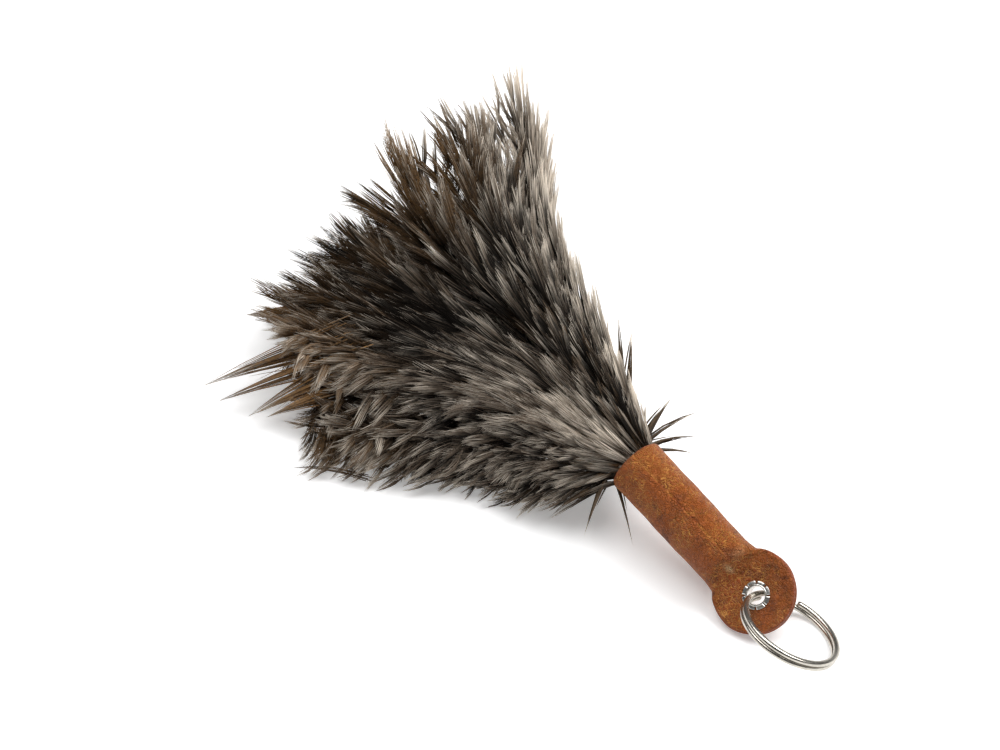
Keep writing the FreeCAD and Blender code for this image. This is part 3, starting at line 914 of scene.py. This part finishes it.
strays = (
    ("outer_01", (0.03, 1.0, 0.6), (1, 15, 0), 1.5),
    ("outer_01", (0.02, 0.9, 0.5), (4, 14, -3), 1.2),
    ("outer_01", (0.04, 1.0, 0.75), (-3, 11, 3), 1.4),
    ("outer_20", (0.02, 0.9, 0.3), (5, 11, -5), 1.3),
    ("outer_01", (0.14, 1.0, 0.8), (-12, 12, 3), 1.3),
    ("outer_02", (0.17, 1.0, 0.8), (-14, 11, 4), 0.9),
    ("outer_01", (0.30, 1.0, 0.8), (-9, 8, 4), 0.7),
    ("outer_02", (0.36, 1.0, 0.8), (-11, 7, 3), 0.6),
    ("outer_03", (0.70, 0.72, 1.0), (-12, 14, 2), 0.8),
    ("outer_12", (0.02, -0.9, 0.2), (4, -10, -8), 1.2),
    ("outer_12", (0.05, -1.0, 0.2), (-3, -9, -5), 0.8),
    ("outer_13", (0.01, -0.6, 0.1), (12, -5, -8), 1.0),
    ("outer_14", (0.01, -0.3, 0.0), (10, 3, -9), 0.6),
    ("outer_09", (0.84, -0.72, 0.7), (-13, -24, -8), 4.0),
    ("outer_09", (0.83, -0.77, 0.7), (-12, -22, -8), 4.0),
    ("outer_09", (0.82, -0.80, 0.65), (-7, -18, -7), 3.6),
    ("outer_10", (0.84, -0.84, 0.6), (-5, -13, -3), 2.4),
    ("outer_09", (0.86, -0.62, 0.8), (-10, -8, -3), 2.4),
    ("outer_08", (0.62, -0.42, 1.0), (-16, -3, 2), 1.0),
    ("outer_11", (0.80, -1.0, 0.4), (-14, -10, -3), 0.9),
)


def strayStrands(label):
    # each stray is a slim tuft of strands that ends in a hair
    shape = strayShape
    lines, radii, colour = [], [], []
    for feather, (share, side, level), reach, weight in strays:
        if feather != label:
            continue
        root = headPoint(np.array([share]), np.array([side]), np.array([level]))[0]
        reach = np.array(reach, float)
        wisp = weight > shape["wispFrom"]
        sag = np.array((0, 0, np.linalg.norm(reach) * (0.02 if wisp else 0.07)))
        places = np.array(shape["wispSteps"] if wisp else shape["steps"])[:, None]
        thick = np.array(shape["radii"]) * (shape["wispThick"] if wisp else weight)
        warm = 0.95 if wisp else 0.15
        pale = 0.05 * min(weight, 2)
        for strand in range(shape["wispStrands"] if wisp else shape["strands"]):
            nudge = chance.normal(0, shape["nudge"], 3) * weight
            length = chance.uniform(0.55, 1) if wisp else 1 - 0.08 * strand
            steps = places * length
            line = root + reach * steps + nudge * (1 - steps) + sag * 4 * steps * (1 - steps)
            line[:, 2] = np.maximum(line[:, 2], 0.25)
            lines.append(line)
            radii.append(thick)
            colour.append([(0.35 + chance.normal(0, 0.15), warm, pale * step, 0) for step in range(4)])
    return np.array(lines), np.array(radii), np.array(colour)


plume = plumeFinish()
for circle in ("inner", "outer"):
    for index in range(featherShape[f"{circle}Count"]):
        label = f"{circle}_{index + 1:02d}"
        lines, radii, colour = featherStrands(circle, index, featherShape[f"{circle}Tufts"])
        if any(label == stray[0] for stray in strays):
            lines, radii, colour = (np.concatenate(parts) for parts in
                                    zip((lines, radii, colour), strayStrands(label)))
        quillPath, quillRadii = quillLine(circle, index)
        tuftMesh = makeStrands("tufts", lines, radii)
        addColour(tuftMesh, colour)
        quillMesh = makeStrands("quill", quillPath, quillRadii)
        addColour(quillMesh, np.tile((0.7, 0.1, 0.35, 0.0), (1, quillPath.shape[1], 1)))
        mesh = joinMeshes("feather_" + label, (tuftMesh, quillMesh))
        addPiece("feather_" + label, mesh, "duster", "plume", "plume_" + label, materials=[plume])
print("feathers made")


# What holds the feathers, hidden in the sleeve

def plainFinish(name, light, dark, scale, rough, **fixed):
    finish = Finish(name, **fixed)
    grain = finish.noise(finish.places(), scale, 5, 1.5)
    finish.feed(Base_Color=finish.mix(grain, dark, light), Roughness=rough + grain * 0.1)
    finish.bump(grain, 0.00005)
    return finish.material


hidden = {
    "core_dowel": plainFinish("birch", (0.62, 0.44, 0.25), (0.42, 0.26, 0.13), 900, 0.5),
    "binding_wire_front": plainFinish("binding_steel", (0.6, 0.6, 0.6), (0.4, 0.4, 0.41), 2500, 0.25,
                                      Metallic=1.0),
    "glue_plug": plainFinish("hide_glue", (0.5, 0.3, 0.1), (0.3, 0.15, 0.04), 700, 0.2),
}
hidden["binding_wire_rear"] = hidden["binding_wire_front"]
for name, material in hidden.items():
    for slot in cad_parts[name].material_slots:
        slot.material = material


# Table, light and camera

studio = {
    "cameraAt": (0.293545, -0.267333, 0.438021),
    "aim": (-0.019389, -0.00475, 0.015),
    "lens": 85,
    "brightSide": (-0.5, 0.6, 0.62),
    "skyRange": (0.8, 2.3),
    "paperGlow": 0.3,
    "lights": (  # name, place, size and power
        ("window", (0.25, 0.75, 1.1), (1.0, 0.8), 17),
        ("overhead", (-0.3, -0.1, 1.3), (1.0, 1.0), 11),
    ),
}


def placeHolder(name, data, place, target):
    holder = bpy.data.objects.new(name, data)
    holder.location = place
    holder.rotation_euler = (Vector(target) - Vector(place)).to_track_quat("-Z", "Y").to_euler()
    bpy.context.scene.collection.objects.link(holder)
    return holder


def makeTable():
    top = bmesh.new()
    bmesh.ops.create_grid(top, x_segments=1, y_segments=1, size=4)
    mesh = finishMesh(top, "table")
    if mesh.polygons[0].normal.z < 0:
        mesh.flip_normals()
    table = bpy.data.objects.new("table", mesh)
    bpy.context.scene.collection.objects.link(table)
    paper = Finish("paper", IOR=1.35, Emission_Strength=studio["paperGlow"])
    tone = paper.noise(paper.places(), 3, 2)
    paper.feed(Base_Color=paper.mix(tone, (0.90, 0.90, 0.905), (0.92, 0.92, 0.92)),
               Roughness=0.75 + tone * 0.05)
    mesh.materials.append(paper.material)


def addLight(name, place, size, power):
    light = bpy.data.lights.new(name, "AREA")
    light.shape = "RECTANGLE"
    light.size, light.size_y = size
    light.energy = power
    placeHolder(name, light, place, (0, 0, 0))


def makeSurroundings():
    world = bpy.data.worlds.new("studio")
    world.use_nodes = True
    nodes = world.node_tree.nodes
    sky = {kind: nodes.new("ShaderNode" + kind) for kind in ("TexCoord", "VectorMath", "MapRange")}
    sky["VectorMath"].operation = "DOT_PRODUCT"
    sky["VectorMath"].inputs[1].default_value = studio["brightSide"]
    for socket, value in zip((1, 2, 3, 4), (-0.9, 0.9, *studio["skyRange"])):
        sky["MapRange"].inputs[socket].default_value = value
    link = world.node_tree.links.new
    link(sky["TexCoord"].outputs["Generated"], sky["VectorMath"].inputs[0])
    link(sky["VectorMath"].outputs["Value"], sky["MapRange"].inputs[0])
    link(sky["MapRange"].outputs[0], nodes["Background"].inputs["Strength"])
    bpy.context.scene.world = world
    for light in studio["lights"]:
        addLight(*light)
    bpy.context.scene.view_settings.view_transform = "Standard"


def makeCamera():
    camera = bpy.data.cameras.new("camera")
    camera.lens = studio["lens"]
    camera.clip_start = 0.01
    bpy.context.scene.camera = placeHolder("camera", camera, studio["cameraAt"], studio["aim"])


makeTable()
makeSurroundings()
makeCamera()
print("scene set")
